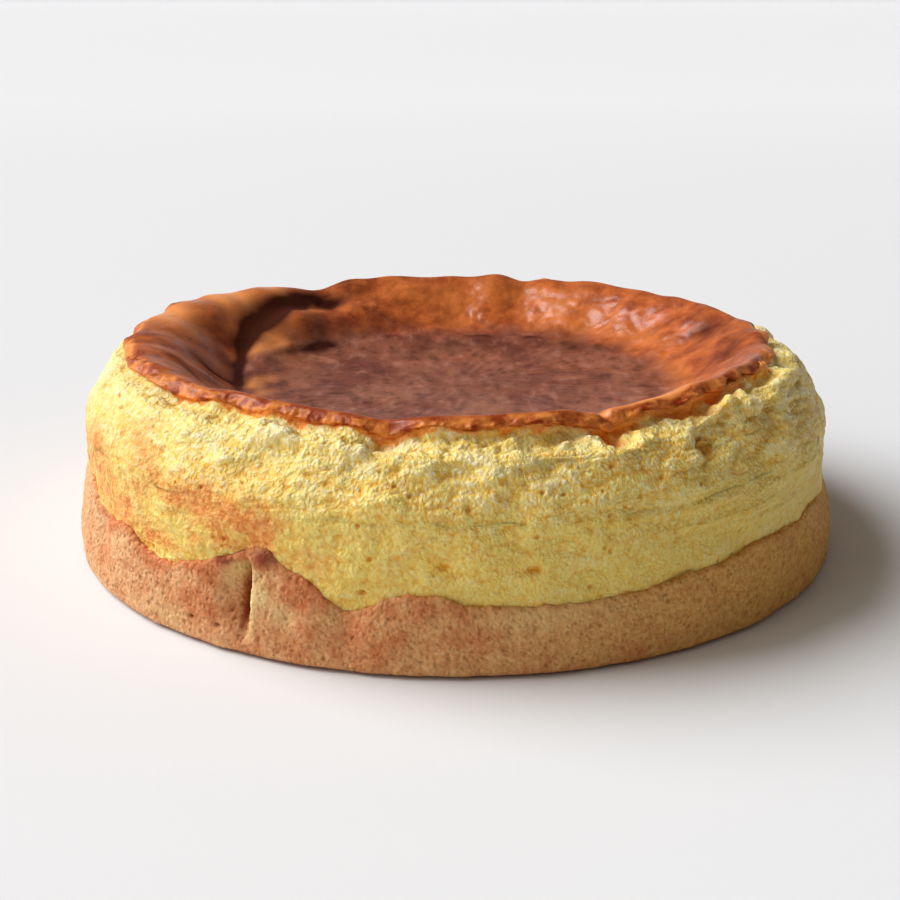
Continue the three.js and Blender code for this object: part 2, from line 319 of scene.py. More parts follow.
def crust_side_radius(azimuth, height):
    edge = crust_edge_height(azimuth)
    below = np.clip((CRUST_BELLY_HEIGHT - height) / CRUST_BELLY_HEIGHT, 0, 1)
    above = np.clip((height - CRUST_BELLY_HEIGHT) / (edge - CRUST_BELLY_HEIGHT), 0, 1)
    foot = (CRUST_RADIUS - FOOT_RADIUS) * below**2
    taper = (CRUST_RADIUS - CRUST_TOP_RADIUS) * above**2
    lumps = smooth_step(CRUST_LUMPS_FROM, edge, height) * swells(CRUST_SIDE_SWELLS, azimuth)
    return CRUST_RADIUS - foot - taper + lumps - crease_depth(azimuth, height)


print("crust edge at the front:", round(float(crust_edge_height(-90)), 1), "mm")

# %% [markdown]
# The filling rises out of the crust, bellies out a little, leans in and breaks off below the
# skin. On the far left it rounds smoothly up to the skin instead, where it didn't tear.

# %% Filling sizes and forms
FILLING_RADIUS, FILLING_FOOT_STEP, TOUCHING_GAP = 97.7, 0.6, 0.4
BELLY_HEIGHT, BELLY_WIDTH, BELLY_SWELL = 31, 9, 0.6
ROUNDING_FOOT, ROUNDING_TOP, NECK_RADIUS = 35.2, 53.5, 88.1
SHOULDER_HEIGHT, SHELF_RADIUS, SHELF_HEIGHT = 46.5, 89.6, 47.9
TEAR_DEPTH, TEAR_UNDERCUT = 1.2, 1.1
SMOOTH_AZIMUTH, SMOOTH_WIDTH, SMOOTH_SHARE = 174, 48, 0.75
WALL_SWELLS = [
    (180, -2.1, 38), (-128, 0.5, 12), (-75, 0.4, 20), (-8, -1.6, 24), (60, 0.5, 25),
]
SHOULDER_REACH_SWELLS = [
    (-97, 1.6, 6), (-70, 1.2, 9), (-50, -1.8, 7), (-18, 0.3, 14), (40, 1.2, 16),
    (95, -1.2, 14), (168, 1.3, 36),
]
SHELF_SWELLS = [
    (-112, 3.2, 11), (-88, 0.8, 3.4), (-81, -1, 2.6), (-74, 0.9, 4), (-62.5, 0.8, 3),
    (-48, 1.2, 4), (-170, 1.9, 44), (25, -1.2, 18),
]
CRAG_WAVES = [(17, 3.1, 1), (29, -2.3, 0.8), (5, 7, 0.6)]
CRAG_SIZE_LOW, CRAG_SIZE_HIGH, CRAGS_GROW_FROM = 0.25, 0.7, 34


def torn(azimuth):
    return 1 - SMOOTH_SHARE * bump(azimuth_from(SMOOTH_AZIMUTH, azimuth), SMOOTH_WIDTH)


def crags(azimuth, height):
    grown = smooth_step(CRAGS_GROW_FROM, SHOULDER_HEIGHT, height)
    waves = sum(
        size * np.sin(np.radians(azimuth) * turns + height / shift) for turns, shift, size in CRAG_WAVES
    )
    return mix(CRAG_SIZE_LOW, CRAG_SIZE_HIGH, grown) * torn(azimuth) * waves


def wall_radius(azimuth, height):
    belly = BELLY_SWELL * bump(height - BELLY_HEIGHT, BELLY_WIDTH)
    upright = mix(FILLING_RADIUS, NECK_RADIUS, smooth_step(ROUNDING_FOOT, ROUNDING_TOP, height))
    high = smooth_step(BELLY_HEIGHT, SHOULDER_HEIGHT, height)
    reach = swells(WALL_SWELLS, azimuth) + high * swells(SHOULDER_REACH_SWELLS, azimuth)
    return upright + belly + reach + crags(azimuth, height)


print("filling's wall at the front:", round(float(wall_radius(-90, BELLY_HEIGHT)), 1), "mm from the middle")

# %% [markdown]
# The skin's rim stands up round the sunken middle. At the back left the skin slid down and
# folded over itself: a ridge, with a dark valley between it and the rim.

# %% Skin sizes and forms
RIM_RADIUS, RIM_HEIGHT = 79.6, 51.9
SKIN_EDGE_REACH, SKIN_EDGE_DROP, SKIN_OVERHANG = 3.6, 2.2, 0.8
HOLLOW_RADIUS, HOLLOW_HEIGHT, HOLLOW_DISH = 54, 39.4, 1.2
RIM_SWELLS = [
    (159, 1.8, 33), (123.8, -2.5, 6.8), (74.7, -1, 3), (-37, 2.1, 14), (-68.9, -1.3, 3.5),
    (-101.2, -1.7, 6.6), (-98, 1.5, 62),
]
RIM_REACH_SWELLS = [(-92, 2.1, 46), (158, 2.2, 24), (-172, 2.4, 20), (70, 0.6, 25)]
SKIN_EDGE_SWELLS = [
    (-99.8, -1.2, 2.2), (-122, -0.7, 2), (-66.5, -1.6, 3), (-59, 0.6, 3), (-139, -1.1, 5),
    (100, -0.8, 6), (35, -0.7, 5),
]
RIM_RIPPLES = [(14, 0.7, 0.25), (31, 2, 0.2)]
RIM_REACH_RIPPLES = [(7, 0.5, 0.3)]
SKIN_EDGE_RIPPLES = [(27, 1, 0.35), (41, 0.3, 0.25)]
FOLD_START, FOLD_END, FOLD_SOFTNESS = 112, 172, 15
FOLD_RADIUS_AT_START, FOLD_RADIUS_AT_END = 64, 55
FOLD_HEIGHT, FOLD_WIDTH = 3.1, 6.0
VALLEY_OFFSET, VALLEY_DEPTH, VALLEY_WIDTH = 9.5, 2.6, 5
PLEAT_TURNS, PLEAT_SIZE = 19, 0.5
BROAD_SHOULDERS = [(150, 1.0, 26), (-172, 0.4, 14)]


def rim_height(azimuth):
    return RIM_HEIGHT + swells(RIM_SWELLS, azimuth) + ripples(RIM_RIPPLES, azimuth)


def rim_radius(azimuth):
    return RIM_RADIUS + swells(RIM_REACH_SWELLS, azimuth) + ripples(RIM_REACH_RIPPLES, azimuth)


def skin_edge(azimuth):
    ragged = ripples(SKIN_EDGE_RIPPLES, azimuth)
    height = rim_height(azimuth) - SKIN_EDGE_DROP + swells(SKIN_EDGE_SWELLS, azimuth) + ragged
    return rim_radius(azimuth) + SKIN_EDGE_REACH + ragged, height


def shelf(azimuth):
    reach = 0.6 * swells(SHOULDER_REACH_SWELLS, azimuth) + swells(WALL_SWELLS, azimuth)
    height = SHELF_HEIGHT + swells(SHELF_SWELLS, azimuth) + crags(azimuth, SHOULDER_HEIGHT)
    return SHELF_RADIUS + reach, np.minimum(height, skin_edge(azimuth)[1] - SKIN_OVERHANG / 2)


def fold_shape(azimuth, radius):
    turned = azimuth % 360
    opens = smooth_step(FOLD_START - FOLD_SOFTNESS, FOLD_START + FOLD_SOFTNESS, turned)
    closes = smooth_step(FOLD_END - FOLD_SOFTNESS, FOLD_END + FOLD_SOFTNESS, turned)
    along = (turned - FOLD_START) / (FOLD_END - FOLD_START)
    inside = radius - mix(FOLD_RADIUS_AT_START, FOLD_RADIUS_AT_END, along)
    ridge = FOLD_HEIGHT * bump(inside, FOLD_WIDTH)
    valley = VALLEY_DEPTH * bump(inside - VALLEY_OFFSET, VALLEY_WIDTH)
    return opens * (1 - closes) * ridge, opens * (1 - closes) * valley


def hollow_height(azimuth, radius):
    down = np.clip((rim_radius(azimuth) - radius) / (RIM_RADIUS - HOLLOW_RADIUS), 0, 1)
    down = down ** (1 + swells(BROAD_SHOULDERS, azimuth))
    round_shoulder = np.sin(down * math.pi / 2) ** 1.25
    slope = mix(round_shoulder, smooth_step(0, 1, down), 0.5)
    floor = HOLLOW_HEIGHT - HOLLOW_DISH * (1 - np.clip(radius / HOLLOW_RADIUS, 0, 1) ** 2)
    pleats = PLEAT_SIZE * np.sin(np.radians(azimuth) * PLEAT_TURNS) * np.sin(down * math.pi)
    ridge, valley = fold_shape(azimuth, radius)
    return mix(rim_height(azimuth), floor, slope) + ridge - valley + pleats


print("rim at the front:", round(float(rim_height(-90)), 1), "mm high")

# %% [markdown]
# ## Random forms that come out the same every time
# Crumb is irregular, but the script has to give the same cake each run. Blender's own noise
# functions depend on the place alone, apart from the noise vector, which starts from the clock
# until a seed is set. Soft hills make lumps and blotches. Folded hills, whose
# valleys are sharp and whose tops are round, make crumbs at several sizes at once. The distance
# to the nearest of many random points makes pores.

# %% Hills, crumbs and pores
SEED_SHIFT = 19.19
noise.seed_set(3)


def shifted(places, size, seed):
    """Places measured in sizes, moved to a part of the noise that belongs to the seed."""
    return (places / size + seed * SEED_SHIFT).reshape(-1, 3).tolist()


def hills(places, size, seed):
    """Soft random hills from about -1 to 1, about `size` across."""
    values = [noise.noise(place) for place in shifted(places, size, seed)]
    return 1.6 * np.array(values).reshape(places.shape[:-1])


def crumbs(places, size, seed, finer=3):
    """Round lumps with sharp creases between them, from about -1 in a crease to 1."""
    values = [noise.turbulence(place, finer, True) for place in shifted(places, size, seed)]
    return 2.4 * np.array(values).reshape(places.shape[:-1]) - 1


def stirred(places, size, amount):
    """Places pushed about by noise, so that forms made from them come out less even."""
    pushes = [noise.noise_vector(place)[:] for place in shifted(places, size, 3)]
    return places + amount * np.array(pushes).reshape(places.shape)


def pores(places, size, seed):
    """The distance to the nearest random point, in sizes, and a number of that point's own."""
    found = [noise.voronoi(place) for place in shifted(places, size, seed)]
    away = np.array([distances[0] for distances, middles in found])
    own = np.array([noise.cell(middles[0]) for distances, middles in found])
    return away.reshape(places.shape[:-1]), own.reshape(places.shape[:-1]) / 2 + 0.5


sample = crumbs(np.random.default_rng(1).uniform(0, 50, (1000, 3)), 3, 7)
print("crumbs reach from", round(float(sample.min()), 2), "to", round(float(sample.max()), 2))

# %% [markdown]
# ## One way to make every body
# Each body is round, so one flat bmesh grid is rolled up: its two ends meet, and its first and
# last rows close on the axis, or on each other in a ring. A bmesh spin does the same, but takes
# minutes for so many columns. Each point moves to where the outline of its own azimuth has it.
# The columns stand closer together at the cleft, which is the finest form.

# %% A rolled body
COLUMN_CROWDING = 0.52
WELD_DISTANCE = 1e-6


def column_azimuths(columns):
    turn = np.arange(columns) / columns * 2 * math.pi
    degrees = CLEFT_AZIMUTH + np.degrees(turn - COLUMN_CROWDING * np.sin(turn))
    return azimuth_from(0, degrees)


def flat_grid(name, rows, columns):
    """A flat mesh of faces, and the row and the column of each of its points."""
    body = bmesh.new()
    bmesh.ops.create_grid(body, x_segments=columns, y_segments=rows, size=1)
    mesh = bpy.data.meshes.new(name)
    body.to_mesh(mesh)
    body.free()
    place = np.empty(len(mesh.vertices) * 3, np.float32)
    mesh.vertices.foreach_get("co", place)
    share = place.reshape(-1, 3) / 2 + 0.5
    return mesh, np.rint(share[:, 1] * rows).astype(int), np.rint(share[:, 0] * columns).astype(int)


def welded(mesh):
    """Joins the points that lie on each other and turns all faces outwards."""
    body = bmesh.new()
    body.from_mesh(mesh)
    bmesh.ops.remove_doubles(body, verts=body.verts, dist=WELD_DISTANCE)
    bmesh.ops.recalc_face_normals(body, faces=body.faces)
    body.to_mesh(mesh)
    body.free()


def rolled_body(name, grid, colours, ring=False):
    """A closed body from a grid of places in millimetres, with its colour values on its points."""
    rows, columns = grid.shape[:2]
    mesh, row, column = flat_grid(name, rows if ring else rows - 1, columns)
    row, column = row % rows, column % columns
    lowest, highest = (np.array(corner) for corner in cad_box)
    places = np.clip(grid[row, column] * MILLIMETRE, lowest, highest)
    mesh.vertices.foreach_set("co", places.astype(np.float32).ravel())
    for word, values in colours.items():
        attribute = mesh.attributes.new(word, "FLOAT", "POINT")
        attribute.data.foreach_set("value", values[row, column].astype(np.float32))
    welded(mesh)
    mesh.polygons.foreach_set("use_smooth", np.ones(len(mesh.polygons), bool))
    piece = bpy.data.objects.new(name, mesh)
    bpy.context.scene.collection.objects.link(piece)
    print(name, "has", sum(len(face.vertices) - 2 for face in mesh.polygons), "triangles")
    return piece


def around(profile, azimuth):
    """Turns a profile of (radius, height) rows for every azimuth into places in space."""
    radius, height = profile[:, 0], profile[:, 1]
    turn = np.radians(azimuth)
    return np.stack([radius * np.cos(turn), radius * np.sin(turn), height], axis=-1)


def outward(grid):
    """The unit normals of a grid of places whose columns run round the cake."""
    upward = np.gradient(grid, axis=0)
    sideways = np.roll(grid, -1, axis=1) - np.roll(grid, 1, axis=1)
    normal = np.cross(sideways, upward)
    return normal / np.maximum(np.linalg.norm(normal, axis=-1, keepdims=True), 1e-9)


def through(points, steps):
    """A smooth curve through a profile's points, with `steps` rows from each to the next."""
    points = np.array([np.broadcast_arrays(*point) for point in points], float)
    gap = np.maximum(np.linalg.norm(np.diff(points, axis=0), axis=1, keepdims=True), 1e-6)
    pace = np.diff(points, axis=0) / gap
    middle = (pace[:-1] * gap[1:] + pace[1:] * gap[:-1]) / (gap[1:] + gap[:-1])
    slope = np.concatenate([pace[:1], middle, pace[-1:]])
    rows = []
    for number, count in enumerate(steps):
        for share in np.arange(count) / count:
            rise = share * share * (3 - 2 * share)
            leave = share * (1 - share) ** 2 * gap[number]
            arrive = share * share * (share - 1) * gap[number]
            rows.append(
                mix(points[number], points[number + 1], rise)
                + leave * slope[number] + arrive * slope[number + 1]
            )
    return np.array([*rows, points[-1]])


print("columns stand", round(1 - COLUMN_CROWDING, 2), "to", round(1 + COLUMN_CROWDING, 2), "apart")

# %% [markdown]
# ## The crust
# The base is shortcrust, baked against the tin: a fine porous grain with many tiny dark holes,
# soft dents, and redder blotches where it browned. A Displace modifier with a cloud texture
# would rough it up evenly, but the grain, the pores and the cleft's crisp lip need their own
# rules, so the points are moved along their normals by a formula. Below its top edge the dough
# bridges the cleft, with a burnt tip on each side.

# %% Crust outline
CRUST_COLUMNS = 1400
CRUST_SIDE_ROWS = 56
CLEFT_DEEPER, CLEFT_CORE_WIDTH = 4.0, 0.75
BRIDGE_DROP, BRIDGE_SHARE = 5.5, 0.85
FOOT_GAP = [(5, 0), (3.2, 0.15), (1.4, 0.45), (0.3, 0.8)]


def patches(table, azimuth, height):
    """The sum of soft patches, each as azimuth, height, half width, half height and strength."""
    return sum(
        strength * bump(azimuth_from(at, azimuth), wide) * bump(height - middle, tall)
        for at, middle, wide, tall, strength in table
    )


def crust_side(azimuth, height):
    """The side's radius with the cleft in it, which the dough bridges below the top edge."""
    edge = crust_edge_height(azimuth)
    core = CLEFT_DEEPER * bump(azimuth_from(CLEFT_AZIMUTH, azimuth), CLEFT_CORE_WIDTH)
    core = core * smooth_step(CLEFT_FOOT_HEIGHT, CLEFT_FULL_HEIGHT, height)
    open_share = 1 - BRIDGE_SHARE * smooth_step(edge - BRIDGE_DROP, edge - BRIDGE_DROP / 3, height)
    depth = (cleft_depth(azimuth, height) + core) * open_share
    return crust_side_radius(azimuth, height) - depth, height


def ragged_edge(azimuth):
    """The crust's top line with the small bumps that the solid leaves out."""
    turn = np.radians(azimuth)
    track = np.stack([97 * np.cos(turn), 97 * np.sin(turn), 0 * turn], axis=-1)
    return crust_edge_height(azimuth) + 0.35 * hills(track, 4, 15) + 0.25 * hills(track, 1.6, 16)


def crust_outline(azimuth):
    """Rows of (radius, height) from the underside's middle, up the side and over the lip."""
    edge = ragged_edge(azimuth)
    level = np.zeros_like(azimuth)
    foot = crust_side(azimuth, level)[0]
    rows = [(level, level), (foot - 30, level)]
    rows += [(foot - inwards, level + height) for inwards, height in FOOT_GAP]
    for share in np.linspace(0, 1, CRUST_SIDE_ROWS):
        rows.append(crust_side(azimuth, mix(level + FOOT_ROUNDING, edge - CRUST_LIP_ROUNDING, share)))
    outer = rows[-1][0]
    rows += [(outer - 0.3, edge - 0.45), (outer - 0.9, edge - 0.1), (outer - 1.6, edge - 0.1)]
    rows += [(outer - CRUST_LIP_THICKNESS, edge - 0.8), (outer - 8, edge - 6)]
    rows += [(outer - 14, level + CRUST_FLOOR_HEIGHT - 6), (level, level + CRUST_FLOOR_HEIGHT - 6)]
    return np.array(rows)


crust_azimuth = column_azimuths(CRUST_COLUMNS)
crust_rows = crust_outline(crust_azimuth)
print("crust outline:", crust_rows.shape[0], "rows")

# %% Crust relief
TIPS = [(-121.3, 20.9, 1.1, 1.3, 0.9), (-113.9, 24.6, 1.4, 1.6, 1.3), (-117.4, 22.2, 3.2, 1.0, 0.5)]
DENTS = [
    (-111.2, 10.7, 1.1, 1.3, -0.8), (-126.3, 6.1, 0.5, 0.7, -0.9), (-121.7, 6.0, 0.5, 0.6, -0.9),
]


def crust_relief(places, azimuth, height):
    """How far each point stands out, and how deep it lies in a pore, from 0 to 1."""
    lumps = 0.3 * hills(places, 9, 11) + 0.16 * hills(places, 3.6, 12)
    grain = 0.11 * crumbs(places, 1.6, 13)
    away, own = pores(places, 2.2, 20)
    pit = smooth_step(0.36, 0.1, away) * (own > 0.5)
    relief = lumps + grain - 0.3 * pit
    relief = relief + patches(TIPS, azimuth, height) + patches(DENTS, azimuth, height)
    return relief - 0.15, pit


crust_grid = around(crust_rows, crust_azimuth)
crust_angle = np.broadcast_to(crust_azimuth, crust_grid.shape[:2])
crust_height = crust_grid[..., 2]
relief, crust_pits = crust_relief(crust_grid, crust_angle, crust_height)
crust_shown = smooth_step(0, 1.5, crust_height) * (np.hypot(crust_grid[..., 0], crust_grid[..., 1]) > 80)
crust_grid = crust_grid + outward(crust_grid) * (relief * crust_shown)[..., None]
print("crust relief from", round(float(relief.min()), 2), "to", round(float(relief.max()), 2), "mm")

# %% [markdown]
# Where the dough browned more, and where it stayed pale, isn't random on the real cake: the
# pinched edge is redder, and the stretched dough beside the cleft is cream. A short table of
# patches says so, and its values are written on the points for the finish to read.

# %% Crust colours and body
CRUST_BLUSH = [
    (-125.5, 10, 4, 5, 0.7), (-123.4, 18, 4, 3, 0.5), (-109.5, 17.5, 3.2, 3.8, 1.0),
    (-146, 19.5, 2, 3, 1.0), (-96, 13, 5, 5, 0.35), (-135, 15.5, 4, 1.5, 0.6),
    (-150, 12, 6, 8, 0.35), (-92, 16, 4, 2.5, 0.6), (-104, 6, 6, 4, 0.3), (150, 14, 12, 7, 0.5),
    (80, 16, 14, 5, 0.5), (20, 12, 10, 6, 0.35), (-117.5, 22.5, 4, 1.4, 0.8),
]
CRUST_CREAM = [
    (-118.3, 19.2, 1.3, 1.7, 1.3), (-116.5, 13, 0.8, 6.5, 1.0), (-114.8, 15.5, 1.3, 3.5, 0.6), (-120.2, 16.5, 1.2, 2.5, 0.6),
    (-112, 12, 1.8, 3, 0.45), (-80, 14, 9, 3, 0.3), (-131, 4, 4, 3, 0.3), (110, 8, 10, 5, 0.4),
]
# Burnt tips and dark dents. The two entries on the cleft's core, at -118.2 and -119.6 degrees, darken it as painted
# shade.
CRUST_BURNT_AND_SHADE = [
    (-121.2, 21.2, 1.2, 0.9, 1.2), (-114.6, 23.6, 1.4, 2.0, 1.15), (-147, 20.5, 0.9, 1.4, 0.7),
    (-126.3, 6.1, 0.35, 0.5, 0.9), (-121.7, 6.0, 0.35, 0.45, 0.9),
    (-118.2, 11.5, 0.6, 6, 1.2), (-119.6, 9, 1.0, 4.5, 0.35),
]
below_edge = crust_edge_height(crust_angle) - crust_height
left_edge = bump(azimuth_from(-133, crust_angle), 24) * bump(below_edge, 2.2)
blotches = 0.3 * hills(crust_grid, 11, 41) + 0.35 * hills(crust_grid, 3.5, 42)
blotches = blotches + 0.35 * bump(azimuth_from(-112, crust_angle), 26)
crust_colours = {
    "blush": np.clip(patches(CRUST_BLUSH, crust_angle, crust_height) + 0.8 * left_edge + blotches, 0, 1),
    "cream": np.clip(patches(CRUST_CREAM, crust_angle, crust_height), 0, 1),
    # Below 2 mm the foot is darkened too, as a painted contact shadow.
    "burnt_and_shade": np.clip(
        patches(CRUST_BURNT_AND_SHADE, crust_angle, crust_height) + 0.4 * smooth_step(2.0, 0.2, crust_height), 0, 1
    ),
    "pit": crust_pits,
    # Round the right, away from the lamp, the crust turns golden: partly its own tone, partly painted warm shade.
    "golden_and_shade": bump(azimuth_from(-25, crust_angle), 62),
}
crust = rolled_body("crust", crust_grid, crust_colours)

# %% Baked crust finish


def baked_crust():
    """Pinkish tan pastry with redder blotches and tiny dark pores; golden on the right, partly its own tone, partly
    painted shade.
    """
    finish = Finish("baked_crust")
    grain = finish.noise(0.0012, 4, 0.7)
    pits = finish.cells(0.0013)
    tan = finish.blend(grain.between(0.38, 0.64), paint(216, 152, 98), paint(236, 188, 138))
    golden_and_shade = finish.blend(grain.between(0.38, 0.64), paint(210, 146, 62), paint(233, 181, 90))
    tan = finish.blend(finish.attribute("golden_and_shade"), tan, golden_and_shade)
    browned = finish.blend(grain.between(0.36, 0.66), paint(188, 100, 48), paint(218, 140, 86))
    colour = finish.blend(finish.attribute("blush"), tan, browned)
    colour = finish.blend(finish.attribute("cream") * 0.9, colour, paint(246, 222, 152))
    colour = finish.blend(finish.attribute("pit") * 0.4, colour, paint(156, 80, 30))
    colour = finish.blend(pits.between(0.2, 0.06) * 0.3, colour, paint(150, 72, 26))
    # Burnt tips, painted shade in the cleft and a painted contact shadow at the foot.
    colour = finish.blend(finish.attribute("burnt_and_shade"), colour, paint(134, 50, 14))
    relief = grain * 0.5 + pits.between(0.0, 0.5) * 0.5
    return finish.surface({
        "Base Color": colour,
        "Roughness": grain.between(0.75, 0.3) * 0.35 + 0.5,
        "Normal": finish.bump(relief, 0.0008, 1.0),
        "Subsurface Weight": 0.15,
        "Subsurface Radius": (1.0, 0.55, 0.3),
        "Subsurface Scale": 0.001,
        "Specular IOR Level": 0.35,
    })


crust.data.materials.append(baked_crust())
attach(crust, "root")
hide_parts("crust_base")

# %% [markdown]
# ## The crumb
# The filling's side is a moist crumb: small round lumps with creases between them, a few pores,
# and flat folds on the right where it rose slowly. On the left the side touched the tin and
# toasted. Below the skin it tore into ledges. The side, in two bands, and the torn ledge above it
# are separate bodies that overlap in ragged lines, as the torn layers of the real crumb do. A
# piece should stay under 200,000 triangles.

# %% Crumb relief
FLATTENED = np.array([1, 1, 3.0])
SMOOTH_CRUMB = [
    (-62, 23, 16, 4, 0.8), (-38, 29, 16, 9, 0.6), (170, 36, 30, 12, 0.75), (-85, 18.5, 24, 2.2, 0.85),
    (-160, 36, 14, 14, 0.5), (-12, 43, 14, 9, 0.8), (8, 40, 20, 14, 0.8),
]
HOLES = [
    (-91.4, 25.0, 0.8, 0.9, -1.1), (-80.3, 24.0, 0.9, 0.8, -1.2), (-97.2, 45.0, 0.5, 0.8, -0.8),
    (-88.3, 38.0, 0.4, 1.0, -0.8), (-101.6, 18.2, 0.55, 0.5, -1.2), (-53.5, 44.0, 1.4, 1.6, -1.8),
]
FOLDS = [
    (-60, 33.5, 9, 1.1, 0.6), (-52, 29, 12, 1.0, 0.7), (-44, 26.5, 12, 0.9, 0.6), (-64, 38, 8, 1.2, 0.7),
    (-34, 33, 10, 1.0, 0.5),
]


def crumb_relief(places, azimuth, height, ledges):
    """How far the crumb stands out, and how deep each point lies in a crease or hole, from 0 to 1, for painted shade.
    """
    smooth = np.clip(patches(SMOOTH_CRUMB, azimuth, height), 0, 0.9)
    layers = crumbs(places * FLATTENED, 10, 51, 2)
    lumps = 0.5 * hills(places, 8, 53)
    away, own = pores(stirred(places, 2.2, 0.5), 1.6, 54)
    grains = mix(1.1 - 2.6 * away, hills(places, 0.9, 55), 0.25)
    away, own = pores(places, 3.6, 80)
    hole = smooth_step(0.2, 0.08, away) * (own > 0.6)
    named = patches(HOLES, azimuth, height)
    soft = 0.2 * crumbs(stirred(places, 5, 0.8), 4.5, 52, 2)
    relief = lumps + (1 - 0.5 * smooth) * (ledges * layers + soft)
    relief = relief + 0.12 * (1 - smooth) * grains - 0.6 * hole
    relief = relief + named + patches(FOLDS, azimuth, height)
    # Creases and holes become painted shade: the finish turns them deeper golden.
    crease_shade = 0.3 - 0.45 * (1 - smooth) * grains - 0.6 * ledges * layers - 0.7 * soft
    return relief, np.clip(crease_shade + hole - named, 0, 1)


print("named holes:", len(HOLES), "folds:", len(FOLDS))

# %% [markdown]
# Toasted crumb follows the same kind of table as the crust's blotches.

# %% Toasted places
TOAST = [
    (-139, 42, 4, 5, 0.45), (-136, 35, 4, 5, 0.6), (-143, 24, 8, 6, 0.75), (-127, 35, 4.5, 3.5, 0.95),
    (-121.5, 31, 6, 5, 0.75), (-115, 33, 4, 4, 0.6), (-115.2, 28, 2.2, 5, 0.8), (-152, 32, 7, 9, 0.8),
    (-166, 30, 9, 9, 0.6), (-133, 21, 6, 2.5, 0.6), (-121.5, 24.5, 5, 2, 0.5), (-108, 24, 3, 4, 0.5),
    (150, 32, 14, 8, 0.6), (95, 30, 12, 6, 0.4), (40, 31, 9, 5, 0.3),
]


def toasted(places, azimuth, height):
    """How toasted each point of the crumb is, from 0 to 1, with a broken edge."""
    broken = 0.35 * hills(places, 5, 90) + 0.3 * hills(places, 2, 91)
    return np.clip(1.3 * patches(TOAST, azimuth, height) * (1 + broken) + 0.25 * broken - 0.1, 0, 1)


def pale_and_lit_crumbs(places, azimuth, height):
    """How pale the crumb's tips are, from 0 to 1: dry crumb and painted highlight, most on the torn ledge, more on
    the lit left.
    """
    high = mix(0.08, 1, smooth_step(30, 46, height)) * torn(azimuth)
    # Paler on the left, the side the lamp falls on: painted light.
    lit_left = 0.9 * bump(azimuth_from(-158, azimuth), 30) * smooth_step(33, 42, height)
    return np.clip(high + lit_left + 0.4 * hills(places * FLATTENED, 9, 92), 0, 1)


# %% Side of the filling
WALL_COLUMNS, WALL_ROWS = 1400, 58
SEAM_HEIGHT, SEAM_WANDER, SEAM_TUCK = 34.5, 1.0, 0.12


def crust_lip_radius(azimuth):
    edge = ragged_edge(azimuth)
    return crust_side(azimuth, edge - CRUST_LIP_ROUNDING)[0] - CRUST_LIP_THICKNESS


def seam(azimuth):
    """The height at which the lower band of the side meets the upper one."""
    turn = np.radians(azimuth)
    track = np.stack([97 * np.cos(turn), 97 * np.sin(turn), 0 * turn], axis=-1)
    return SEAM_HEIGHT + SEAM_WANDER * hills(track, 9, 61)


def side_rows(azimuth, lowest, highest):
    """Rows up the side between two heights, curved in over the crust's lip at the foot."""
    edge = ragged_edge(azimuth)
    lip = crust_lip_radius(azimuth) + FILLING_FOOT_STEP
    rows = []
    for share in np.linspace(0, 1, WALL_ROWS):
        height = mix(lowest, highest, share)
        clear = mix(0.75, 1, smooth_step(-0.6, 2.5, height - edge))
        rows.append((mix(lip, wall_radius(azimuth, height), clear), height))
    return rows


def lower_side(azimuth):
    """Rows from the hidden underside, out over the crust's lip, up to the seam and back."""
    edge, level = ragged_edge(azimuth), np.zeros_like(azimuth)
    top = seam(azimuth)
    rows = side_rows(azimuth, edge - 0.6, top)
    lip = crust_lip_radius(azimuth)
    before = [(level, level + 12), (lip - 20, level + 12), (lip - 6, edge - 4), (lip - 0.2, edge - 2)]
    after = [(rows[-1][0] - SEAM_TUCK, top + 0.6), (rows[-1][0] - 3, top + 0.6)]
    after += [(level + 60, level + 30), (level, level + 30)]
    return np.array([*before, *rows, *after])


def upper_side(azimuth):
    """A closed loop of rows: out at the seam, up to the shoulder and back inside."""
    bottom, level = seam(azimuth), np.zeros_like(azimuth)
    rows = side_rows(azimuth, bottom, level + SHOULDER_HEIGHT)
    foot, shoulder = rows[0][0], rows[-1][0]
    before = [(foot - 3, bottom - 0.6), (foot - SEAM_TUCK, bottom - 0.6)]
    after = [(shoulder - 1.2, level + 47.2), (shoulder - 3, level + 46.5), (shoulder - 9, level + 42)]
    return np.array([*before, *rows, *after])


def crumb_side(name, outline, ring):
    """One band of the side, with its relief and its colour values."""
    azimuth = column_azimuths(WALL_COLUMNS)
    grid = around(outline(azimuth), azimuth)
    angle = np.broadcast_to(azimuth, grid.shape[:2])
    height = grid[..., 2]
    ledges = 0.2 + 0.37 * smooth_step(32, 45, height) * torn(angle)
    relief, crease_shade = crumb_relief(grid, angle, height, ledges)
    colours = {
        "crease_shade": crease_shade,
        "pale_and_lit": pale_and_lit_crumbs(grid, angle, height),
        "toast": toasted(grid, angle, height),
    }
    shown = np.hypot(grid[..., 0], grid[..., 1]) > 84
    return rolled_body(name, grid + outward(grid) * (relief * shown)[..., None], colours, ring)


lower = crumb_side("crumb_wall_lower", lower_side, False)
upper = crumb_side("crumb_wall_upper", upper_side, True)
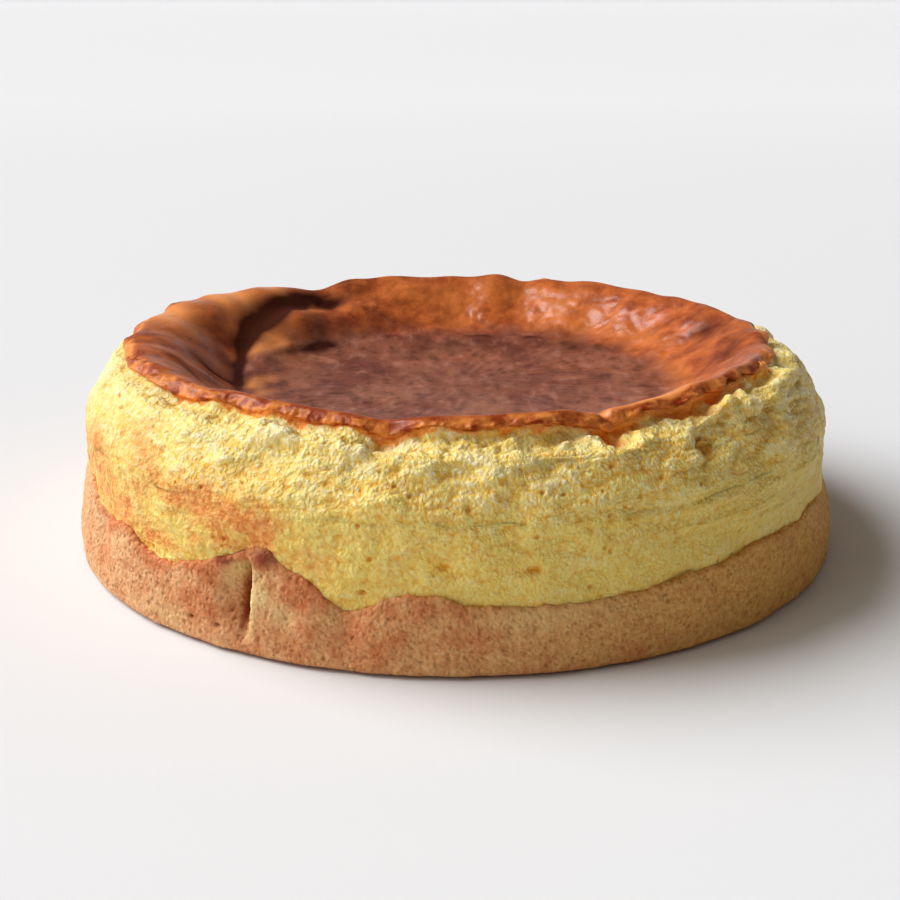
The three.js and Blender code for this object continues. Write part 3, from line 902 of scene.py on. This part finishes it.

# %% [markdown]
# The torn ledge is a ring: it leaves the side as a ragged layer, rises to a broken crest and
# runs in under the skin's edge. On the right it sank away from the skin and left an open gap,
# painted orange partly as shade; on the left it still clings to it.

# %% Torn ledge
LEDGE_COLUMNS = 1400
SKIN_DRAWN_BACK, SKIN_LIFTED = 0.6, 0.2
LEDGE_FOOT, LEDGE_WANDER = 43.2, 1.2
GAPES = [(-47, 0.7, 12), (-66.7, 0.7, 2.2), (-78, 0.3, 8), (-99.5, 0.5, 2.6), (50, 0.5, 30), (100, 0.4, 20)]
CREST_LIFTS = [
    (-41, 1.6, 8), (-24, 2.2, 9), (-72, -1.3, 13), (-96, -1.1, 13), (-122, -0.9, 14), (-66.7, -1, 2.2),
    (22, -0.8, 16), (-158, -0.8, 20),
]
LEDGE_LUMPS = [
    (-82, 85.8, 1.7, 1.8, 1.5), (-56.5, 83.6, 1.8, 1.5, 1.2), (-52.3, 84.6, 1.6, 1.7, 1.3),
    (-46, 84.8, 1.8, 1.8, 1.7), (-40.3, 84.6, 1.5, 2, 2.2), (-33.5, 85, 2, 2.2, 2.2), (-26, 86, 2.5, 2.4, 1.2),
    (-43.5, 89.4, 2.2, 1.8, 0.9), (-63.5, 89.5, 2.4, 1.5, 0.6), (-75.4, 88.5, 2.5, 1.5, 0.5),
    (-88.5, 84.8, 1.4, 1.4, 0.9), (-94, 85.2, 1.6, 1.4, 1.0), (-71, 85, 1.3, 1.3, 0.9), (-34, 90.5, 2, 1.8, 0.8),
    (-77.5, 85.2, 1.2, 1.5, 1.1), (-85.2, 86.8, 1.1, 1.3, 0.9), (-91.2, 86.4, 1.0, 1.2, 0.8), (-74, 86.4, 1.0, 1.3, 0.8),
]


def gape(azimuth):
    """How far the crumb has sunk away from the skin's edge, from 0 to 1."""
    return np.clip(0.1 + swells(GAPES, azimuth), 0, 1)


def ledge_outline(azimuth):
    """A closed loop of rows: out of the side, over the crest, in under the skin and back."""
    turn = np.radians(azimuth)
    track = np.stack([90 * np.cos(turn), 90 * np.sin(turn), 0 * turn], axis=-1)
    foot = LEDGE_FOOT + LEDGE_WANDER * (hills(track, 14, 101) + 0.5 * hills(track, 5, 102))
    proud = 0.2 + 0.35 * hills(track, 9, 103)
    shoulder = (wall_radius(azimuth, SHOULDER_HEIGHT) + proud, SHOULDER_HEIGHT + 0 * turn)
    crest, edge, opened = shelf(azimuth), skin_edge(azimuth), gape(azimuth)
    crest = (crest[0], crest[1] + swells(CREST_LIFTS, azimuth))
    trough = mix(crest[1], edge[1], 0.45) - 0.1 - 1.6 * opened
    points = [
        (wall_radius(azimuth, foot) - 2.5, foot - 0.6),
        (wall_radius(azimuth, foot) - 0.5, foot),
        (wall_radius(azimuth, foot + 1.5) + 0.3 * proud, foot + 1.5),
        shoulder,
        (mix(shoulder[0], crest[0], 0.6), mix(shoulder[1], crest[1], 0.75)),
        crest,
        (mix(crest[0], edge[0], 0.6), mix(crest[1], trough, 0.7)),
        (edge[0] - 0.3 * opened, trough),
        (edge[0] - 1.1 - 0.5 * opened, edge[1] + 0.3),
        (edge[0] - 1.6, edge[1] + 0.55),
        (edge[0] - 3.5, edge[1] + 0.4),
    ]
    shown = through(points, [2, 4, 12, 8, 8, 8, 5, 13, 3, 2])
    level = np.zeros_like(azimuth)
    inside = [(edge[0] - 8, level + 46), (edge[0] - 8, level + 42)]
    inside.append((wall_radius(azimuth, foot) - 8, level + 40))
    return np.array([*shown, *inside])


ledge_azimuth = column_azimuths(LEDGE_COLUMNS)
ledge_rows = ledge_outline(ledge_azimuth)
ledge_grid = around(ledge_rows, ledge_azimuth)
ledge_angle = np.broadcast_to(ledge_azimuth, ledge_grid.shape[:2])
ledge_reach = np.hypot(ledge_grid[..., 0], ledge_grid[..., 1])
past_skin = ledge_reach - skin_edge(ledge_angle)[0] + SKIN_DRAWN_BACK
below_skin = skin_edge(ledge_angle)[1] - ledge_grid[..., 2]
from_skin = np.hypot(np.maximum(past_skin, 0), np.maximum(below_skin, 0))
relief, ledge_crease_shade = crumb_relief(ledge_grid, ledge_angle, ledge_grid[..., 2], 0.55 * torn(ledge_angle))
coarse = bump(azimuth_from(-35, ledge_angle), 32)
torn_lumps = 0.55 * crumbs(stirred(ledge_grid, 3, 0.8), 4.2, 104, 2) * smooth_step(9, 4, past_skin)
torn_lumps = torn_lumps + 1.1 * coarse * crumbs(stirred(ledge_grid, 5, 1.6), 11, 105, 2)
settled = bump(azimuth_from(8, ledge_angle), 24)
torn_lumps = torn_lumps * smooth_step(0.2, 1.6, from_skin) * (1 - 0.75 * settled)
relief = relief + torn_lumps + patches(LEDGE_LUMPS, ledge_angle, ledge_reach + below_skin - 4)
# The orange near the skin's edge is partly the crumb's own colour and partly painted shade in the gap under the skin.
amber_wander = 0.9 * hills(ledge_grid, 2.6, 106)
front_right = bump(azimuth_from(-60, ledge_angle), 38)
amber_reach = 0.7 + 1.3 * front_right + 5.5 * gape(ledge_angle) ** 2
amber_reach = smooth_step(amber_reach, 0.2, from_skin + amber_wander)
ledge_shown = np.ones(ledge_rows.shape[0])
ledge_shown[-4:] = 0
ledge_colours = {
    "crease_shade": np.clip(0.6 * ledge_crease_shade - 0.3 * torn_lumps, 0, 1),
    "pale_and_lit": pale_and_lit_crumbs(ledge_grid, ledge_angle, ledge_grid[..., 2]),
    "toast": toasted(ledge_grid, ledge_angle, ledge_grid[..., 2]),
    "amber": np.clip(amber_reach * (1.1 - 1.2 * torn_lumps), 0, 1),
}
ledge_grid = ledge_grid + outward(ledge_grid) * (relief * ledge_shown[:, None])[..., None]
ledge = rolled_body("torn_ledge", ledge_grid, ledge_colours, ring=True)

# %% Cheese crumb finish


def cheese_crumb():
    """Golden crumb, creases painted deeper as shade, pale tips partly painted highlight, toasted where it met the
    tin.
    """
    finish = Finish("cheese_crumb")
    grain = finish.noise(0.0013, 2, 0.5)
    fine = finish.noise(0.0007, 2, 0.6)
    granule = finish.cells(0.0012).between(0.6, 0.05) * 0.5 + fine.between(0.36, 0.64) * 0.5
    # Creases and small hollows are painted deeper golden, as shade.
    crease_shade_share = finish.attribute("crease_shade") + granule.between(0.4, 0.1) * 0.2 + grain.between(0.5, 0.34) * 0.1
    colour = finish.blend(grain.between(0.42, 0.6), paint(253, 217, 104), paint(255, 227, 128))
    colour = finish.blend(crease_shade_share.between(0.42, 1.3), colour, paint(238, 166, 18))
    raised = finish.attribute("crease_shade").between(0.4, 0.0) * 0.45 + granule.between(0.35, 0.75) * 0.55
    # Raised grains are paled: partly dry crumb, partly a painted highlight.
    pale_tips_and_highlights = finish.attribute("pale_and_lit") * raised
    colour = finish.blend(pale_tips_and_highlights * 0.95, colour, paint(255, 240, 216))
    toast = finish.blend(grain.between(0.38, 0.6), paint(228, 125, 42), paint(248, 172, 88))
    colour = finish.blend(finish.attribute("toast") * 0.9, colour, toast)
    # Orange under the skin's edge: partly the crumb's colour, partly painted shade in the gap.
    colour = finish.blend(finish.attribute("amber") * 0.85, colour, paint(246, 134, 20))
    return finish.surface({
        "Base Color": colour,
        "Roughness": fine.between(0.6, 0.4) * 0.3 + 0.3,
        "Normal": finish.bump(granule, 0.0011, 0.55),
        "Subsurface Weight": 0.4,
        "Subsurface Radius": (1.0, 0.72, 0.35),
        "Subsurface Scale": 0.0011,
        "Specular IOR Level": 0.4,
    })


# %% Crumb pieces
crumb_finish = cheese_crumb()
for piece in (lower, upper, ledge):
    piece.data.materials.append(crumb_finish)
    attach(piece, "root")
    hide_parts("cheese_filling")

# %% [markdown]
# ## The browned skin
# The skin is a thin glossy sheet that the oven set first. It ends in a ragged, curled edge,
# rolls over the rim and lies in soft pleats down to the sunken floor. It is one closed shell:
# the outline runs out under the skin, round the edge and back over it.

# %% Skin outline
SKIN_COLUMNS = 1000
SKIN_THICKNESS = 1.5
RIM_STEP, WALL_REACH, FLOOR_STEPS = 0.6, 30, 16
UNDERSIDE_ROWS = (27, 24, 21, 18, 14, 10, 7)
NOTCHES = [(-66.7, 1.3, 0.9), (-148, 0.3, 1.2), (-120.5, 0.3, 0.8)]
RETREATS = [(-40, 1.8, 1.8), (-33.5, 2.0, 2.4), (-47, 0.8, 1.5), (-24, 1.6, 4), (-158, -1.3, 20)]


def skin_outline(azimuth):
    level = np.zeros_like(azimuth)
    notch = swells(NOTCHES, azimuth)
    rim = (rim_radius(azimuth), rim_height(azimuth) - notch)
    edge = skin_edge(azimuth)
    back = SKIN_DRAWN_BACK + swells(RETREATS, azimuth)
    edge = (edge[0] - back, edge[1] + SKIN_LIFTED - 0.8 * notch + 0.3 * (back - SKIN_DRAWN_BACK))
    under = [(level, level + HOLLOW_HEIGHT - 4), (rim[0] - WALL_REACH, level + HOLLOW_HEIGHT - 4)]
    for inwards in UNDERSIDE_ROWS:
        under.append((rim[0] - inwards, hollow_height(azimuth, rim[0] - inwards) - SKIN_THICKNESS))
    points = [
        (rim[0] - 1, rim[1] - 2.5),
        (edge[0] - 1.6, edge[1] - 0.3),
        (edge[0] - 0.4, edge[1] - 0.1),
        (edge[0], edge[1] + 0.35),
        (mix(edge[0], rim[0], 0.35), mix(edge[1] + 0.35, rim[1], 0.6)),
        (mix(edge[0], rim[0], 0.7), mix(edge[1] + 0.35, rim[1], 0.92)),
        rim,
    ]
    shown = through(points, [2, 4, 4, 6, 5, 5])
    down = []
    for inwards in np.arange(RIM_STEP, WALL_REACH, RIM_STEP):
        sunk = notch * bump(inwards, 3)
        down.append((rim[0] - inwards, hollow_height(azimuth, rim[0] - inwards) - sunk))
    floor = []
    for share in np.linspace(1, 0, FLOOR_STEPS)[1:]:
        radius = (rim[0] - inwards) * share
        floor.append((radius, hollow_height(azimuth, radius)))
    return np.array([*under, *shown, *down, *floor])


skin_azimuth = column_azimuths(SKIN_COLUMNS)
skin_rows = skin_outline(skin_azimuth)
skin_grid = around(skin_rows, skin_azimuth)
skin_angle = np.broadcast_to(skin_azimuth, skin_grid.shape[:2])
print("skin outline:", skin_rows.shape[0], "rows")

# %% Skin relief
WRINKLES = [(-157, 68, 17, 9, 0.16), (-4, 70, 12, 6, 0.06)]
WRINKLE_TURNS = 52


def skin_relief(places, azimuth):
    """How far the skin stands out: soft dents inside, small teeth at its curled edge."""
    radius = np.hypot(places[..., 0], places[..., 1])
    inside = rim_radius(azimuth) - radius
    floor = smooth_step(20, 28, inside)
    sloping = smooth_step(1, 6, inside) * (1 - floor)
    dents = 0.25 * hills(places, 9, 111)
    dimples = 0.2 * crumbs(places, 5.5, 112, 2) * smooth_step(-0.2, 0.5, np.cos(np.radians(azimuth - 50)))
    ripple = 0.3 * hills(places * np.array([1, 0.5, 1]), 4, 113) + 0.14 * hills(places, 2, 114)
    waves = np.sin(np.radians(azimuth) * WRINKLE_TURNS + 2 * hills(places, 16, 117))
    teeth = 0.2 * hills(places, 5, 115) + 0.28 * hills(places, 1.8, 116) + 0.2 * hills(places, 0.9, 118)
    relief = dents + sloping * dimples + floor * ripple + patches(WRINKLES, azimuth, radius) * waves
    front = mix(0.3, 1, smooth_step(0.3, -0.3, np.sin(np.radians(azimuth))))
    return relief + bump(inside + SKIN_EDGE_REACH - SKIN_DRAWN_BACK, 1.2) * teeth * front


relief = skin_relief(skin_grid, skin_angle)
skin_shown = np.ones(skin_rows.shape[0])
skin_shown[:len(UNDERSIDE_ROWS) + 3] = 0
skin_radius = np.hypot(skin_grid[..., 0], skin_grid[..., 1])
relief = relief * skin_shown[:, None] * smooth_step(0, 6, skin_radius)
skin_places = skin_grid + outward(skin_grid) * relief[..., None]

# %% [markdown]
# The skin's colours are laid on as oval spots, seen from above. It is nearly black in the valley
# beside the fold, partly browning and partly painted shade, as also below the ridge and on the right
# wall; tan on the shoulder behind it, partly painted light; and bright orange on the back wall.

# %% Skin colours and body
# Dark spots: browning, and painted shade in the valley beside the fold, below the ridge and on the right wall.
CHAR_AND_SHADE = [
    (-46.5, 58, 8, 3.8, 72, 1.3), (-51.3, 46, 9, 4.3, 65, 1.5), (-56, 36, 8, 4.3, 68, 1.5),
    (-58.8, 26, 8, 3.4, 78, 1.4), (-59.5, 15, 8, 1.9, 88, 1.0), (-58, 2, 9, 1.6, 94, 0.9),
    (-57, -10, 7, 1.4, 98, 0.6), (-62.5, -7, 5, 2.4, 10, 0.9), (-40, 32.5, 10, 3.0, 52, 1.5),
    (-38, 62, 9, 5, 40, 0.7), (20, 40, 30, 7, -10, 0.4), (-12, 36, 16, 6, 15, 0.4),
    (8, 49.5, 4, 1.6, 0, 0.8), (23, 48, 4, 1.6, -20, 0.7), (40, 35, 8, 4, -40, 0.4),
    (71, 20, 10, 6, 110, 0.55), (71, -4, 9, 6, 85, 0.6), (-66, -24, 12, 1.6, -25, 0.6),
    (-52, -30, 10, 4, -50, 0.5), (-64.5, -6.5, 8, 4.5, 15, 0.5), (-61.5, 6, 6, 3, 90, 0.4),
]
# Tan spots: the skin's tan, with painted light on the left shoulder and the ridge's nose, and a painted highlight
# along the front crest line.
TAN_AND_LIGHT = [
    (-71, 46, 22, 9, 135, 1.5), (-80, 14, 9, 6, 100, 0.8), (-59, 60, 14, 5, 140, 0.9),
    (-80, 24, 15, 6, 115, 0.8), (-56, 20, 4, 2.2, 65, 0.9), (-51.5, 27, 8, 3.5, 62, 0.3),
    (-54, -6, 3.5, 2.4, 90, 0.8), (-51, -1, 3, 2.4, 60, 0.5), (-50, -14, 4, 2.4, 80, 0.4),
    (32.4, -75.3, 2.5, 3, 0, 0.9), (39, -71, 6, 1.6, 30, 0.8), (46, -66, 6, 1.6, 36, 0.8), (52, -61, 6, 1.6, 42, 0.6),
]
AMBER = [
    (-15, 70, 14, 6, 0, 0.4), (9, 71, 16, 5, 0, 0.6), (33, 57, 12, 5, -30, 0.7), (52, 36, 12, 4, -55, 0.6), (-2, 62, 8, 4, 0, 0.4),
    (60, 5, 9, 3, 90, 0.5), (58, -17, 7, 3, 70, 0.4), (30, 66, 10, 5, -25, 0.4),
]


def spots(table, places):
    """The sum of soft oval spots, each as x, y, length, width, direction and strength."""
    total = 0
    for x, y, length, width, direction, strength in table:
        turn = math.radians(direction)
        right, ahead = places[..., 0] - x, places[..., 1] - y
        along = right * math.cos(turn) + ahead * math.sin(turn)
        across = ahead * math.cos(turn) - right * math.sin(turn)
        total = total + strength * bump(along, length) * bump(across, width)
    return total


inside_rim = rim_radius(skin_angle) - skin_radius
mottle = hills(skin_grid, 6, 121)
skin_colours = {
    "floor": smooth_step(16.5, 28, inside_rim + 2.5 * mottle),
    "char_and_shade": np.clip(spots(CHAR_AND_SHADE, skin_grid) * (1 + 0.25 * mottle) + 0.15 * mottle, 0, 1),
    "tan": np.clip(spots(TAN_AND_LIGHT, skin_grid), 0, 1),
    "amber": np.clip(spots(AMBER, skin_grid) * (1 + 0.5 * mottle), 0, 1),
    "lip": smooth_step(0.1, -1.6, inside_rim + 0.6 * hills(skin_grid, 2.5, 123)),
}
skin = rolled_body("browned_skin", skin_places, skin_colours)

# %% Browned skin finish


def browned_skin():
    """Orange-brown at the walls, dark red-brown with a mauve sheen on the floor, partly painted into its colour."""
    finish = Finish("browned_skin")
    drawn_out = finish.add("ShaderNodeVectorMath", {"operation": "MULTIPLY"}, {0: finish.place, 1: (1, 0.45, 1)})
    mottle = finish.noise(0.005, 4, 0.6)
    fine = finish.noise(0.0014, 3, 0.6)
    patchy = finish.noise(0.0035, 3, 0.55, drawn_out)
    broad = finish.noise(0.012, 2, 0.5, drawn_out)
    wall_colour = finish.blend(mottle.between(0.38, 0.62), paint(152, 66, 26), paint(198, 102, 46))
    # The floor's colour is lifted towards mauve as painted sheen, besides the coat's own sheen.
    floor_colour = finish.blend(broad.between(0.35, 0.62), paint(116, 56, 42), paint(150, 88, 64))
    floor_colour = finish.blend(patchy.between(0.48, 0.34) * 0.65, floor_colour, paint(82, 32, 20))
    floor_colour = finish.blend(patchy.between(0.54, 0.7) * 0.65, floor_colour, paint(180, 118, 98))
    colour = finish.blend(finish.attribute("floor"), wall_colour, floor_colour)
    colour = finish.blend(finish.attribute("amber") * 0.8, colour, paint(228, 132, 58))
    # Tan: partly the skin's colour, partly painted light, and a painted highlight on the front crest.
    colour = finish.blend(finish.attribute("tan"), colour, paint(255, 158, 86))
    # Near black: browning and painted shade.
    char_and_shade = finish.attribute("char_and_shade")
    colour = finish.blend(char_and_shade * 0.95, colour, paint(52, 8, 2))
    lip = finish.attribute("lip")
    lip_colour = finish.blend(mottle.between(0.4, 0.6), paint(146, 54, 14), paint(232, 140, 64))
    colour = finish.blend(lip, colour, lip_colour)
    return finish.surface({
        "Base Color": colour,
        "Roughness": mottle.between(0.3, 0.7) * 0.15 + char_and_shade * 0.6 + lip * 0.2 + 0.25,
        "Normal": finish.bump(fine * 0.5 + patchy * 0.5, 0.0006, 0.5),
        "Subsurface Weight": 0.15,
        "Subsurface Radius": (1.0, 0.4, 0.15),
        "Subsurface Scale": 0.0012,
        "Specular IOR Level": 0.1,
        "Coat Weight": 0.5 - char_and_shade * 0.5 - lip * 0.3,
        "Coat Roughness": 0.22,
    })


skin.data.materials.append(browned_skin())
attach(skin, "root")
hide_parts("cheese_filling")

# %% [markdown]
# ## Floor
# A pale seamless sweep, as in a small studio: flat under the cake and curved up far behind it.
# One edge of a few points, extruded sideways and bevelled, is enough.

# %% Floor
FLOOR_HALF_WIDTH, FLOOR_FRONT, FLOOR_BACK, FLOOR_TOP, FLOOR_BEND = 12.0, -9.0, 16.0, 4.0, 3.5

sweep = bmesh.new()
corners = [
    sweep.verts.new((-FLOOR_HALF_WIDTH, y, z))
    for y, z in ((FLOOR_FRONT, 0), (FLOOR_BACK, 0), (FLOOR_BACK, FLOOR_TOP))
]
edges = [sweep.edges.new(pair) for pair in zip(corners, corners[1:])]
moved = bmesh.ops.extrude_edge_only(sweep, edges=edges)["geom"]
far_side = [part for part in moved if isinstance(part, bmesh.types.BMVert)]
bmesh.ops.translate(sweep, vec=(2 * FLOOR_HALF_WIDTH, 0, 0), verts=far_side)
bend = [
    edge for edge in sweep.edges
    if all(abs(corner.co.y - FLOOR_BACK) < 1e-6 and abs(corner.co.z) < 1e-6 for corner in edge.verts)
]
bmesh.ops.bevel(
    sweep, geom=bend, offset=FLOOR_BEND, affect="EDGES", segments=24, profile=0.5, material=-1
)
floor_mesh = bpy.data.meshes.new("floor")
sweep.to_mesh(floor_mesh)
sweep.free()
floor_mesh.polygons.foreach_set("use_smooth", np.ones(len(floor_mesh.polygons), bool))
floor = bpy.data.objects.new("floor", floor_mesh)
bpy.context.scene.collection.objects.link(floor)

paper = Finish("pale_paper")
# The paper is paler towards the back: a painted light gradient, darker near the cake, lighter far behind.
depth = paper.add("ShaderNodeSeparateXYZ", {}, {"Vector": paper.place}, "Y")
floor_mesh.materials.append(paper.surface({
    "Base Color": paper.blend(depth.between(0.1, 1.5), paint(229, 229, 231), paint(242, 242, 244)),
    "Roughness": 0.9,
    "Specular IOR Level": 0.2,
}))
print("floor faces:", len(floor_mesh.polygons))
